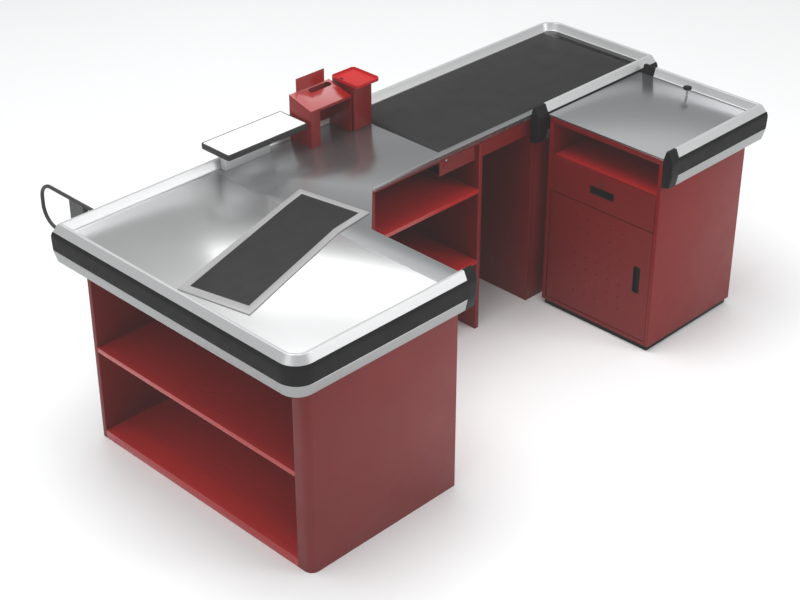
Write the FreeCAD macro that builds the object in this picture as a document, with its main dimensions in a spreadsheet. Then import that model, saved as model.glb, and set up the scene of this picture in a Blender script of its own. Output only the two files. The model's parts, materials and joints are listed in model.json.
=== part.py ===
"""Checkout counter: packing wing, cashier section, belt conveyor, side cabinet and bumper rails.

The layout frame has its zero where the packing wing's open front meets its near side board:
X runs along the counter from the wing to the conveyor, Y from the cashier's side to the
customers, Z up from the floor. Every piece is then moved so that the origin is on the floor,
at the middle of the whole counter.
"""
import FreeCAD, Part
import math
import os
import re
import Sketcher

from FreeCAD import Placement, Rotation, Vector

# ---------------------------------------------------------------- driving sizes, in mm
SIZES = {
    # worktop
    "worktop_height": 870.0,
    "counter_length": 2551.0,
    "counter_depth": 1178.0,
    "wing_overhang": 35.0,
    "customer_overhang": 33.0,
    "conveyor_overhang": 33.0,
    "board": 20.0,
    "core": 25.0,
    "skin": 2.0,
    "fascia": 19.0,
    "bay_setback": 75.0,
    # packing wing
    "wing_width": 700.0,
    "wing_edge": 28.0,
    "wing_post_width": 66.0,
    "wing_post_depth": 35.0,
    "wing_post_round": 34.0,
    "wing_base": 35.0,
    "wing_shelf_top": 400.0,
    "recess_start": 443.0,
    "service_front": 664.0,
    # slide let into the packing plate
    "slide_rise": 5.0,
    "slide_mat_rise": 3.0,
    # cashier section
    "cashier_setback": 21.0,
    "cashier_run": 588.0,
    "cashier_shelf": 18.0,
    "upper_shelf_drop": 222.0,
    "lower_shelf_top": 327.0,
    # conveyor
    "belt_setback": 385.0,
    "knee_run": 317.0,
    "belt_under_gap": 14.0,
    "trough_wall": 4.0,
    "trough_near_wall": 6.0,
    "belt_thick": 3.0,
    "belt_gap": 2.0,
    "belt_side_gap": 3.0,
    "drum_radius": 37.7,
    "drum_belt_gap": 0.3,
    "drum_shaft_radius": 10.0,
    "running_clearance": 0.05,
    "belt_far_gap": 24.0,
    "bed_thick": 5.0,
    # bumper rail, offsets outward from the worktop's edge and up or down from its top
    "rail_rise": 35.0,
    "rail_inner_run": 11.5,
    "rail_ridge": 12.0,
    "rail_outer_run": 14.5,
    "rail_outer_drop": 31.5,
    "rubber_seat": 5.0,
    "rubber_height": 74.5,
    "rubber_bulge": 5.5,
    "rail_low_reach": 3.8,
    "rail_low_drop": 45.0,
    "rail_low_run": 9.3,
    "rail_foot_drop": 9.0,
    "rail_wall": 3.0,
    "near_round": 36.0,
    "far_round": 45.0,
    "cap_wing": 45.0,
    "cap_main": 60.0,
    "cap_main_lead": 17.0,
    "cap_side": 46.0,
    "cap_side_far": 60.0,
    # side cabinet
    "side_setback": 37.0,
    "side_depth": 554.0,
    "side_gap": 56.0,
    "side_width": 558.0,
    "side_board": 17.0,
    "side_top_steel": 8.0,
    "side_top_board": 22.0,
    "side_overhang": 27.0,
    "side_far_overhang": 9.0,
    "plinth_height": 24.0,
    "plinth_recess": 10.0,
    "front_thick": 18.0,
    "front_gap": 1.5,
    "niche_height": 141.0,
    "drawer_height": 154.5,
    "drawer_gap": 4.5,
    "door_low": 45.0,
    "link_height": 60.0,
    "link_width": 40.0,
    # drawer
    "tray_depth": 480.0,
    "tray_height": 85.0,
    "tray_lift": 12.0,
    "tray_wall": 12.0,
    "tray_floor": 6.0,
    "runner_thick": 12.5,
    "runner_height": 30.0,
    "runner_gap": 0.5,
    # recessed pulls, lock and door pivots
    "pull_long": 114.0,
    "pull_short": 29.0,
    "pull_depth": 13.0,
    "pull_wall": 2.5,
    "pull_lip": 1.5,
    "drawer_pull_centre": 278.0,
    "drawer_pull_rise": 76.5,
    "door_pull_centre": 81.0,
    "door_pull_rise": 14.5,
    "lock_radius": 6.0,
    "lock_centre": 281.0,
    "lock_rise": 115.5,
    "lock_cam": 19.0,
    "pivot_radius": 3.0,
    "pivot_depth": 10.0,
    "pivot_plate": 3.0,
    "vent_radius": 2.75,
    "vent_pitch": 57.0,
    "vent_margin": 75.0,
    # payment console
    "console_setback": 68.0,
    "console_width": 225.0,
    "console_gap": 15.0,
    "column_width": 95.0,
    "console_depth": 122.0,
    "console_front_height": 155.0,
    "console_back_height": 187.0,
    "console_leg": 47.0,
    "console_pass": 24.0,
    "sheet": 3.0,
    "upstand_setback": 36.0,
    "upstand_length": 146.0,
    "upstand_height": 53.0,
    "slot_offset": 140.0,
    "slot_setback": 22.0,
    "slot_long": 112.0,
    "slot_wide": 25.0,
    "column_height": 186.0,
    "tray_side_lap": 9.0,
    "tray_front_lap": 28.0,
    "tray_right_lap": 20.0,
    "cup_height": 14.0,
    "cup_wall": 4.0,
    "cup_round": 16.0,
    # customer shelf
    "shelf_gap": 7.0,
    "shelf_length": 396.0,
    "shelf_inset": 114.0,
    "shelf_depth": 158.0,
    "shelf_under": 86.0,
    "shelf_thick": 22.0,
    "shelf_round": 10.0,
    "bracket_setback": 53.0,
    "bracket_length": 220.0,
    "bracket_depth": 30.0,
    # lane gate
    "gate_place": 100.0,
    "gate_pivot": 82.0,
    "gate_tube_radius": 7.0,
    "gate_reach": 269.0,
    "gate_rise": 22.0,
    "gate_drop": 145.0,
    "gate_top_bend": 62.0,
    "gate_low_bend": 75.0,
    "gate_plate_length": 95.0,
    "gate_tail": 45.0,
    "gate_plate_thick": 3.0,
    "gate_pin_radius": 6.0,
    "gate_sleeve_radius": 10.0,
    "gate_sleeve_drop": 4.0,
    "gate_sleeve_cover": 6.0,
    "gate_pin_gap": 2.0,
    "gate_arm_width": 40.0,
    "gate_arm_height": 40.0,
    "gate_arm_drop": 28.0,
    "gate_gap": 1.0,
    # push button on the side cabinet
    "button_inset": 58.0,
    "button_place": 281.0,
    "button_radius": 17.5,
    "button_thick": 8.0,
    "button_height": 40.0,
    "button_travel": 4.0,
    "button_stem_radius": 2.5,
    "button_base_radius": 4.5,
}

# Places that follow from the sizes, each written in terms of sizes and of other places.
PLACES = {
    "bay_seam": "(wing_width - bay_setback)",
    "cashier_left": "(wing_width + service_front - recess_start + cashier_setback)",
    "cashier_right": "(cashier_left + cashier_run)",
    "belt_opening": "(cashier_left + belt_setback)",
    "knee_end": "(cashier_right + knee_run)",
    "belt_top_radius": "(drum_radius + drum_belt_gap + belt_thick)",
    "conveyor_low": "(worktop_height - 2 * belt_top_radius - trough_wall - belt_under_gap)",
    "upper_shelf_top": "(worktop_height - upper_shelf_drop)",
    "side_start": "(knee_end + side_setback)",
    "side_near": "(service_front - side_gap - side_width)",
    "niche_floor": "(worktop_height - side_top_steel - side_top_board - niche_height)",
    "drawer_low": "(niche_floor - drawer_height)",
    "door_high": "(drawer_low - drawer_gap)",
    "drawer_pull_height": "(drawer_low + drawer_pull_rise)",
    "door_pull_height": "((door_low + door_high) / 2 + door_pull_rise)",
    "lock_height": "(drawer_low + lock_rise)",
    "console_start": "(cashier_left + console_setback)",
    "console_split": "(console_start + console_width)",
    "console_right": "(console_split - console_gap)",
    "console_end": "(console_split + column_width)",
    "console_front": "(counter_depth - 1 - console_depth)",
    "upstand_start": "(console_start + upstand_setback)",
    "upstand_end": "(upstand_start + upstand_length)",
    "slot_centre": "(console_start + slot_offset)",
    "shelf_start": "(console_start - shelf_gap - shelf_length)",
    "shelf_front": "(counter_depth - shelf_inset)",
    "bracket_start": "(shelf_start + bracket_setback)",
    "gate_top": "(worktop_height + gate_rise)",
    "gate_low": "(worktop_height - gate_drop)",
}
WORD = r"[a-z][a-z_]+"

doc = FreeCAD.newDocument("CheckoutCounter")
sheet = doc.addObject("Spreadsheet::Sheet", "Sizes")
for row, (alias, value) in enumerate(SIZES.items(), start=1):
    sheet.set(f"A{row}", alias.replace("_", " "))
    sheet.set(f"B{row}", str(value))
    sheet.setAlias(f"B{row}", alias)
doc.recompute()

# Planes that several pieces share, written once in terms of the sizes.
RUBBER_REACH = "(rail_inner_run + rail_ridge + rail_outer_run + rubber_bulge)"
GATE_PIVOT_Y = "(counter_depth + gate_pivot)"
CENTRE_X = "((counter_length - wing_overhang) / 2)"
CENTRE_Y = f"(({GATE_PIVOT_Y} + gate_reach + gate_tube_radius - {RUBBER_REACH}) / 2)"
UNDER_SKIN = "(worktop_height - skin)"
UNDER_CORE = "(worktop_height - skin - core)"
CUSTOMER_FACE = "(counter_depth - customer_overhang)"
CUSTOMER_INSIDE = "(counter_depth - customer_overhang - board)"
WING_RIGHT = "(wing_width + wing_edge)"
RECESS_END = "(wing_width + wing_edge + service_front - recess_start)"
CONVEYOR_END = "(counter_length - conveyor_overhang)"
SIDE_END = "(side_start + side_depth)"
SIDE_FAR = "(side_near + side_width)"
SIDE_TOP_EDGE = "(side_start + side_depth + side_overhang)"
SIDE_INSIDE_NEAR = "(side_near + side_board)"
SIDE_INSIDE_FAR = "(side_near + side_width - side_board)"
SIDE_UNDER_STEEL = "(worktop_height - side_top_steel)"
BELT_NEAR = "(service_front + board + trough_near_wall + belt_side_gap)"
BELT_FAR = "(counter_depth - trough_wall - belt_gap)"
BELT_TOP_RADIUS = "belt_top_radius"
DRUM_Z = f"(worktop_height - {BELT_TOP_RADIUS})"
IDLER_X = f"(belt_opening + belt_gap + {BELT_TOP_RADIUS})"
DRIVE_X = f"(counter_length - belt_far_gap - {BELT_TOP_RADIUS})"
BUTTON_X = f"({SIDE_TOP_EDGE} - button_inset)"
BUTTON_Y = "(side_near + button_place)"
PIVOT_X = "(side_start + front_thick / 2)"
PIVOT_Y = f"({SIDE_INSIDE_FAR} - front_gap - front_thick / 2)"


def bind(text):
    """An expression that reads the sheet, from one written with the names of sizes and places."""
    while any(word in PLACES for word in re.findall(WORD, text)):
        text = re.sub(WORD, lambda word: PLACES.get(word.group(0), word.group(0)), text)
    return re.sub(WORD, lambda word: "Sizes." + word.group(0), text)


def val(text):
    """The present value of such an expression."""
    return float(read_sizes(text))


def read_sizes(text):
    probe = sheet.evalExpression(bind(text))
    return getattr(probe, "Value", probe)


nodes = {}


def node(thing, name):
    """Name a finished piece and set it in the part's own frame."""
    thing.Label = name
    thing.setExpression(".Placement.Base.x", bind(f"-{CENTRE_X}"))
    thing.setExpression(".Placement.Base.y", bind(f"-{CENTRE_Y}"))
    nodes[name] = thing
    return thing


def box(name, x_span, y_span, z_span):
    """A board or block between two planes each way, in the layout frame."""
    solid = doc.addObject("Part::Box", name)
    spans = (("Length", "x", x_span), ("Width", "y", y_span), ("Height", "z", z_span))
    for side, axis, (low, high) in spans:
        solid.setExpression(side, bind(f"({high}) - ({low})"))
        solid.setExpression(f".Placement.Base.{axis}", bind(low))
    return solid


def board(name, x_span, y_span, z_span):
    """A plain board that is a piece by itself."""
    solid = box(name, x_span, y_span, z_span)
    nodes[name] = solid
    solid.Label = name
    solid.setExpression(".Placement.Base.x", bind(f"({x_span[0]}) - {CENTRE_X}"))
    solid.setExpression(".Placement.Base.y", bind(f"({y_span[0]}) - {CENTRE_Y}"))
    return solid


def cylinder(name, centre, radius, length, turn=None):
    """A round bar from its centre point, along Z or turned to another axis."""
    solid = doc.addObject("Part::Cylinder", name)
    if turn:
        solid.Placement = Placement(Vector(0, 0, 0), turn)
    solid.setExpression("Radius", bind(radius))
    solid.setExpression("Height", bind(length))
    for axis, place in zip("xyz", centre):
        solid.setExpression(f".Placement.Base.{axis}", bind(place))
    return solid


ALONG_Y = Rotation(Vector(1, 0, 0), -90)
ALONG_X = Rotation(Vector(0, 1, 0), 90)


def fuse(name, parts):
    joined = doc.addObject("Part::MultiFuse", name)
    joined.Shapes = parts
    return joined


def cut(name, base, tools):
    result = doc.addObject("Part::Cut", name)
    result.Base = base
    result.Tool = tools[0] if len(tools) == 1 else fuse(name + "_tools", tools)
    return result


def group(name, parts):
    """Separate solids that share one node."""
    together = doc.addObject("Part::Compound", name)
    together.Links = parts
    return together


def plane_of(body, role):
    return [part for part in body.Origin.OriginFeatures if part.Role == role][0]


def outline(body, name, role, corners, offset):
    """A closed sketch through corners whose places are bound to the sizes."""
    sketch = body.newObject("Sketcher::SketchObject", name)
    sketch.AttachmentSupport = [(plane_of(body, role), "")]
    sketch.MapMode = "FlatFace"
    sketch.setExpression(".AttachmentOffset.Base.z", bind(offset))
    places = [Vector(val(across), val(up), 0) for across, up in corners]
    count = len(places)
    for index in range(count):
        sketch.addGeometry(Part.LineSegment(places[index], places[(index + 1) % count]))
    for index in range(count):
        sketch.addConstraint(Sketcher.Constraint("Coincident", index, 2, (index + 1) % count, 1))
    for index, (across, up) in enumerate(corners):
        for kind, text, now in (("DistanceX", across, places[index].x), ("DistanceY", up, places[index].y)):
            number = sketch.addConstraint(Sketcher.Constraint(kind, index, 1, now))
            label = f"{kind[-1].lower()}_{index}"
            sketch.renameConstraint(number, label)
            sketch.setExpression(f"Constraints.{label}", bind(text))
    return sketch


def pad(body, name, sketch, length):
    feature = body.newObject("PartDesign::Pad", name)
    feature.Profile = sketch
    feature.setExpression("Length", bind(length))
    sketch.Visibility = False
    return feature


def pocket(body, name, sketch, length, reverse=False):
    """A pocket that must remove material."""
    doc.recompute()
    before = body.Shape.Volume
    feature = body.newObject("PartDesign::Pocket", name)
    feature.Profile = sketch
    feature.Reversed = reverse
    feature.setExpression("Length", bind(length))
    doc.recompute()
    if body.Shape.Volume >= before - 1.0:
        raise RuntimeError(f"{name} cuts nothing")
    return feature


def round_edges(body, name, base, spots, radius):
    """Round the upright edges that stand at the given places."""
    doc.recompute()
    picked = []
    for number, edge in enumerate(base.Shape.Edges, start=1):
        ends = [vertex.Point for vertex in edge.Vertexes]
        if len(ends) != 2 or abs(ends[0].z - ends[1].z) < 0.5:
            continue
        for across, along in spots:
            near = math.hypot(ends[0].x - val(across), ends[0].y - val(along))
            if near < 0.01 and math.hypot(ends[0].x - ends[1].x, ends[0].y - ends[1].y) < 0.01:
                picked.append(f"Edge{number}")
    if len(picked) != len(spots):
        raise RuntimeError(f"{name}: {len(picked)} edges found for {len(spots)} places")
    feature = body.newObject("PartDesign::Fillet", name)
    feature.Base = (base, picked)
    feature.setExpression("Radius", bind(radius))
    return feature


def slab(name, corners, z_span):
    """A flat plate of any outline, as a body of its own."""
    body = doc.addObject("PartDesign::Body", name)
    sketch = outline(body, name + "_outline", "XY_Plane", corners, z_span[0])
    feature = pad(body, name + "_plate", sketch, f"({z_span[1]}) - ({z_span[0]})")
    return body, feature


# ---------------------------------------------------------------- worktop
core, core_pad = slab(
    "worktop_core",
    [
        ("-wing_overhang", "0"),
        (f"{WING_RIGHT} - skin", "0"),
        (f"{WING_RIGHT} - skin", "recess_start + skin * 0.4142"),
        (f"{RECESS_END} - skin * 0.4142", "service_front + skin"),
        ("counter_length", "service_front + skin"),
        ("counter_length", "service_front + board"),
        ("belt_opening", "service_front + board"),
        ("belt_opening", "counter_depth"),
        ("-wing_overhang", "counter_depth"),
    ],
    (UNDER_CORE, UNDER_SKIN),
)
round_edges(core, "worktop_core_round", core_pad, [("-wing_overhang", "0")], "near_round")
node(core, "worktop_core")

packing, packing_pad = slab(
    "packing_plate",
    [("-wing_overhang", "0"), ("bay_seam", "0"), ("bay_seam", "counter_depth"), ("-wing_overhang", "counter_depth")],
    (UNDER_SKIN, "worktop_height"),
)
round_edges(packing, "packing_plate_round", packing_pad, [("-wing_overhang", "0")], "near_round")
node(packing, "packing_plate")

# The service plate's front edge is turned down over the core as a fascia.
service, service_pad = slab(
    "service_plate",
    [
        ("bay_seam", "0"),
        (WING_RIGHT, "0"),
        (WING_RIGHT, "recess_start"),
        (RECESS_END, "service_front"),
        ("counter_length", "service_front"),
        ("counter_length", "service_front + board + trough_near_wall + belt_gap"),
        ("belt_opening", "service_front + board + trough_near_wall + belt_gap"),
        ("belt_opening", "counter_depth"),
        ("bay_seam", "counter_depth"),
    ],
    (UNDER_SKIN, "worktop_height"),
)
fascia_sketch = outline(
    service,
    "service_fascia_outline",
    "XY_Plane",
    [
        (WING_RIGHT, "0"),
        (WING_RIGHT, "recess_start"),
        (RECESS_END, "service_front"),
        ("counter_length", "service_front"),
        ("counter_length", "service_front + skin"),
        (f"{RECESS_END} - skin * 0.4142", "service_front + skin"),
        (f"{WING_RIGHT} - skin", "recess_start + skin * 0.4142"),
        (f"{WING_RIGHT} - skin", "0"),
    ],
    "worktop_height - fascia",
)
pad(service, "service_fascia", fascia_sketch, "fascia - skin / 2")
node(service, "service_plate")

# Folded slide: six corners of the frame and of the mat that it holds, in plan. Each is a share
# of the wing's width and a distance from the start of the recess.
FRAME_PLAN = [(1.0743, 398), (1.1486, 87), (0.8914, 60), (0.07, -130), (-0.0171, 161), (0.9114, 364)]
MAT_PLAN = [(1.0429, 364), (1.1057, 112), (0.9, 90), (0.1171, -89), (0.04, 145), (0.9057, 338)]
frame_corners = [(f"wing_width * {share}", f"recess_start + {along}") for share, along in FRAME_PLAN]
mat_corners = [(f"wing_width * {share}", f"recess_start + {along}") for share, along in MAT_PLAN]
slide, slide_pad = slab("slide_frame", frame_corners, ("worktop_height", "worktop_height + slide_rise"))
inner_edge = outline(slide, "slide_frame_inner", "XY_Plane", mat_corners, "worktop_height + slide_rise")
pocket(slide, "slide_frame_opening", inner_edge, "slide_rise")
node(slide, "slide_frame")
mat, mat_pad = slab("slide_mat", mat_corners, ("worktop_height", "worktop_height + slide_mat_rise"))
node(mat, "slide_mat")

# ---------------------------------------------------------------- packing wing
board("wing_near_panel", ("wing_post_depth", "wing_width"), ("0", "board"), ("0", UNDER_CORE))
post, post_pad = slab(
    "wing_corner_post",
    [("0", "0"), ("wing_post_depth", "0"), ("wing_post_depth", "wing_post_width"), ("0", "wing_post_width")],
    ("0", UNDER_CORE),
)
round_edges(post, "wing_corner_round", post_pad, [("0", "0")], "wing_post_round")
node(post, "wing_corner_post")
board("wing_back_panel", ("wing_width - board", "wing_width"), ("board", CUSTOMER_INSIDE), ("0", UNDER_CORE))
shelves = []
for name, low, high in (
    ("wing_base_board", "0", "wing_base"),
    ("wing_middle_shelf", "wing_shelf_top - board", "wing_shelf_top"),
):
    wide = box(name, ("0", "wing_width - board"), ("wing_post_width", CUSTOMER_INSIDE), (low, high))
    tongue = box(name + "_tongue", ("wing_post_depth", "wing_width - board"), ("board", "wing_post_width"), (low, high))
    shelves.append(fuse(name + "_whole", [wide, tongue]))
node(group("wing_shelves", shelves), "wing_shelves")
diagonal, diagonal_pad = slab(
    "diagonal_panel",
    [
        ("wing_width", "recess_start"),
        ("cashier_left", "recess_start + cashier_left - wing_width"),
        ("cashier_left", "recess_start + cashier_left - wing_width + board * 1.4142"),
        ("wing_width", "recess_start + board * 1.4142"),
    ],
    ("0", UNDER_CORE),
)
node(diagonal, "diagonal_panel")
board("customer_panel", ("0", "belt_opening"), (CUSTOMER_INSIDE, CUSTOMER_FACE), ("0", UNDER_CORE))

# ---------------------------------------------------------------- cashier section
board(
    "cashier_left_panel",
    ("cashier_left", "cashier_left + board"),
    ("service_front", CUSTOMER_INSIDE),
    ("0", UNDER_CORE),
)


def stepped_panel(name, start):
    """An upright board that runs to the core at its front and to the conveyor trough behind."""
    body = doc.addObject("PartDesign::Body", name)
    corners = [
        ("service_front", "0"),
        (CUSTOMER_INSIDE, "0"),
        (CUSTOMER_INSIDE, "conveyor_low"),
        ("service_front + board", "conveyor_low"),
        ("service_front + board", UNDER_CORE),
        ("service_front", UNDER_CORE),
    ]
    sketch = outline(body, name + "_outline", "YZ_Plane", corners, start)
    pad(body, name + "_board", sketch, "board")
    return node(body, name)


stepped_panel("cashier_right_panel", "cashier_right")
cashier_shelves = []
for name, top in (("upper_shelf", "upper_shelf_top"), ("lower_shelf", "lower_shelf_top")):
    cashier_shelves.append(
        box(
            name,
            ("cashier_left + board", "cashier_right"),
            ("service_front", CUSTOMER_INSIDE),
            (f"{top} - cashier_shelf", top),
        )
    )
node(group("cashier_shelves", cashier_shelves), "cashier_shelves")

# ---------------------------------------------------------------- conveyor cabinet
stepped_panel("conveyor_side_panel", "knee_end")
board(
    "conveyor_front_panel",
    ("knee_end + board", CONVEYOR_END),
    ("service_front", "service_front + board"),
    ("0", UNDER_CORE),
)
board(
    "conveyor_end_panel",
    (f"{CONVEYOR_END} - board", CONVEYOR_END),
    ("service_front + board", CUSTOMER_INSIDE),
    ("0", "conveyor_low"),
)
board(
    "conveyor_back_panel",
    ("belt_opening", CONVEYOR_END),
    (CUSTOMER_INSIDE, CUSTOMER_FACE),
    ("0", "conveyor_low"),
)

# The trough is a folded tray that holds the drums, with a flange past the belt's end.
trough_near = box(
    "trough_near",
    ("belt_opening", "counter_length - far_round"),
    ("service_front + board", "service_front + board + trough_near_wall"),
    ("conveyor_low", UNDER_SKIN),
)
trough_far = box(
    "trough_far",
    ("belt_opening", "counter_length - far_round"),
    ("counter_depth - trough_wall", "counter_depth"),
    ("conveyor_low", UNDER_SKIN),
)
trough_pan = box(
    "trough_pan",
    ("belt_opening", "counter_length - far_round"),
    ("service_front + board", "counter_depth"),
    ("conveyor_low", "conveyor_low + trough_wall"),
)
trough_corner = box(
    "trough_end",
    ("counter_length - belt_far_gap + belt_gap", "counter_length"),
    ("service_front + board + trough_near_wall + belt_gap", "counter_depth - far_round"),
    (f"{UNDER_SKIN} - trough_wall", UNDER_SKIN),
)
trough_link = box(
    "trough_link",
    ("counter_length - far_round", "counter_length"),
    ("service_front + board", "service_front + board + trough_near_wall + belt_gap"),
    (f"{UNDER_SKIN} - trough_wall", UNDER_SKIN),
)
shaft_holes = []
for name, place in (("idler_hole", IDLER_X), ("drive_hole", DRIVE_X)):
    shaft_holes.append(
        cylinder(
            name,
            (place, "service_front", DRUM_Z),
            "drum_shaft_radius + running_clearance",
            "counter_depth - service_front + 10",
            ALONG_Y,
        )
    )
node(
    cut(
        "conveyor_trough",
        fuse("trough_folds", [trough_near, trough_far, trough_pan, trough_corner, trough_link]),
        shaft_holes,
    ),
    "conveyor_trough",
)

board(
    "belt_bed",
    (f"{IDLER_X} + drum_radius + 4", f"{DRIVE_X} - drum_radius - 4"),
    ("service_front + board + trough_near_wall", "counter_depth - trough_wall"),
    ("worktop_height - belt_thick - bed_thick", "worktop_height - belt_thick"),
)


def belt_loop(name, reach):
    """A long rounded block around both drums, as wide as the belt."""
    middle = box(
        name + "_run",
        (IDLER_X, DRIVE_X),
        (BELT_NEAR, BELT_FAR),
        (f"{DRUM_Z} - {reach}", f"{DRUM_Z} + {reach}"),
    )
    ends = [
        cylinder(f"{name}_{label}", (place, BELT_NEAR, DRUM_Z), reach, f"{BELT_FAR} - {BELT_NEAR}", ALONG_Y)
        for label, place in (("idler", IDLER_X), ("drive", DRIVE_X))
    ]
    return fuse(name, [middle] + ends)


outer_loop = belt_loop("belt_outside", BELT_TOP_RADIUS)
inner_loop = belt_loop("belt_inside", "(drum_radius + drum_belt_gap)")
node(cut("belt", outer_loop, [inner_loop]), "belt")


def drum(name, place):
    """A roller with a short shaft at each end."""
    shell = cylinder(
        name + "_shell",
        (place, BELT_NEAR, DRUM_Z),
        "drum_radius",
        f"{BELT_FAR} - {BELT_NEAR}",
        ALONG_Y,
    )
    shaft = cylinder(
        name + "_shaft",
        (place, "service_front + board + 1", DRUM_Z),
        "drum_shaft_radius",
        "counter_depth - service_front - board - 1.5",
        ALONG_Y,
    )
    return node(fuse(name, [shell, shaft]), name)


drum("drive_roller", DRIVE_X)
drum("idler_roller", IDLER_X)


# ---------------------------------------------------------------- bumper rails
def rail_sections():
    """Outlines of the aluminium rail, its chamber and the rubber: (outward, height) pairs."""
    top = val("worktop_height")
    ridge = top + val("rail_rise")
    wall = val("rail_wall")
    ridge_in = val("rail_inner_run")
    ridge_out = ridge_in + val("rail_ridge")
    shoulder = ridge_out + val("rail_outer_run")
    shoulder_z = ridge - val("rail_outer_drop")
    seat = shoulder - val("rubber_seat")
    rubber_low = shoulder_z - val("rubber_height")
    low_out = shoulder + val("rail_low_reach")
    low_in = low_out - val("rail_low_run")
    low_z = rubber_low - val("rail_low_drop")
    foot_z = low_z - val("rail_foot_drop")
    bulge = shoulder + val("rubber_bulge")
    outside = [
        (0, foot_z),
        (0, top),
        (ridge_in, ridge),
        (ridge_out, ridge),
        (shoulder, shoulder_z),
        (seat, shoulder_z),
        (seat, rubber_low),
        (low_out, rubber_low),
        (low_in, low_z),
    ]
    slant = wall * 1.15
    chamber = [
        (wall, foot_z + slant + 0.5),
        (wall, top - 0.5),
        (ridge_in + wall * 0.6, ridge - wall),
        (ridge_out - wall * 0.6, ridge - wall),
        (shoulder - slant - wall * 0.4, shoulder_z + wall),
        (seat - wall, shoulder_z + wall),
        (seat - wall, rubber_low - wall),
        (low_out - slant, rubber_low - wall),
        (low_in - wall * 0.8, low_z + wall),
    ]
    rubber = [
        (seat, rubber_low),
        (seat, shoulder_z),
        (shoulder, shoulder_z),
        (bulge, shoulder_z - 2 * (bulge - shoulder)),
        (bulge, shoulder_z - 2 * (bulge - shoulder) - 16),
        (low_out, rubber_low),
    ]
    whole = outside[:5] + [rubber[3], rubber[4]] + outside[7:]
    return outside, chamber, rubber, whole


RAIL, CHAMBER, RUBBER, WHOLE = rail_sections()


def straight(section, edge, along, outward, start, end, start_slope=0, end_slope=0):
    """A section carried along an edge, with each end square or mitred."""
    wires = []
    for place, slope in ((start, start_slope), (end, end_slope)):
        points = [
            edge + along * (place + slope * reach) + outward * reach + Vector(0, 0, height)
            for reach, height in section
        ]
        wires.append(Part.makePolygon(points + points[:1]))
    return Part.makeLoft(wires, True, True)


def turned(section, centre, radius, first_angle):
    """A section carried a quarter turn around a rounded corner."""
    start = Vector(math.cos(math.radians(first_angle)), math.sin(math.radians(first_angle)), 0)
    points = [centre + start * (radius + reach) + Vector(0, 0, height) for reach, height in section]
    face = Part.Face(Part.makePolygon(points + points[:1]))
    return face.revolve(centre, Vector(0, 0, 1), 90)


def shaped(name, shape):
    """A piece whose form comes from the rail section, set in the part's frame."""
    feature = doc.addObject("Part::Feature", name)
    feature.Shape = shape
    return node(feature, name)


EAST, NORTH = Vector(1, 0, 0), Vector(0, 1, 0)
WEST, SOUTH = Vector(-1, 0, 0), Vector(0, -1, 0)
left_edge = -val("wing_overhang")
right_edge = val("counter_length")
far_edge = val("counter_depth")
main_edge = val("service_front")
near_round = val("near_round")
far_round = val("far_round")
side_edge = val("side_near")
side_right = val(SIDE_TOP_EDGE)
side_start = val("side_start")
side_far_end = val("side_near + side_width - 3")
main_start = val("knee_end - cap_main_lead + cap_main")
wing_end = val("wing_width")

RUNS = {
    "rail_wing_near": (Vector(0, 0, 0), EAST, SOUTH, left_edge + near_round, wing_end, 0, 0),
    "rail_left": (Vector(left_edge, 0, 0), NORTH, WEST, near_round, far_edge, 0, 1),
    "rail_far": (Vector(0, far_edge, 0), EAST, NORTH, left_edge, right_edge - far_round, -1, 0),
    "rail_right": (Vector(right_edge, 0, 0), NORTH, EAST, main_edge, far_edge - far_round, -1, 0),
    "rail_main_near": (Vector(0, main_edge, 0), EAST, SOUTH, main_start, right_edge, 0, 1),
    "side_rail_near": (Vector(0, side_edge, 0), EAST, SOUTH, side_start + val("cap_side"), side_right, 0, 1),
    "side_rail_right": (
        Vector(side_right, 0, 0),
        NORTH,
        EAST,
        side_edge,
        side_far_end - val("cap_side_far"),
        -1,
        0,
    ),
}
TURNS = [
    (Vector(left_edge + near_round, near_round, 0), near_round, 180),
    (Vector(right_edge - far_round, far_edge - far_round, 0), far_round, 0),
]
strips = {}
for name, run in RUNS.items():
    shaped(name, straight(RAIL, *run).cut(straight(CHAMBER, *run)))
    strips[name] = straight(RUBBER, *run)
shaped("rail_corners", Part.makeCompound([turned(RAIL, *turn).cut(turned(CHAMBER, *turn)) for turn in TURNS]))
counter_strips = [strips[name] for name in RUNS if not name.startswith("side")]
shaped("rubber_counter", Part.makeCompound(counter_strips + [turned(RUBBER, *turn) for turn in TURNS]))
shaped("rubber_side", Part.makeCompound([strips["side_rail_near"], strips["side_rail_right"]]))

# Solid end caps carry the rail's whole outline a little further.
CAPS = [
    (Vector(0, 0, 0), EAST, SOUTH, wing_end, wing_end + val("cap_wing")),
    (Vector(0, main_edge, 0), EAST, SOUTH, main_start - val("cap_main"), main_start),
    (Vector(0, side_edge, 0), EAST, SOUTH, side_start, side_start + val("cap_side")),
    (Vector(side_right, 0, 0), NORTH, EAST, side_far_end - val("cap_side_far"), side_far_end),
]
shaped("end_caps", Part.makeCompound([straight(WHOLE, *cap) for cap in CAPS]))

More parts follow.
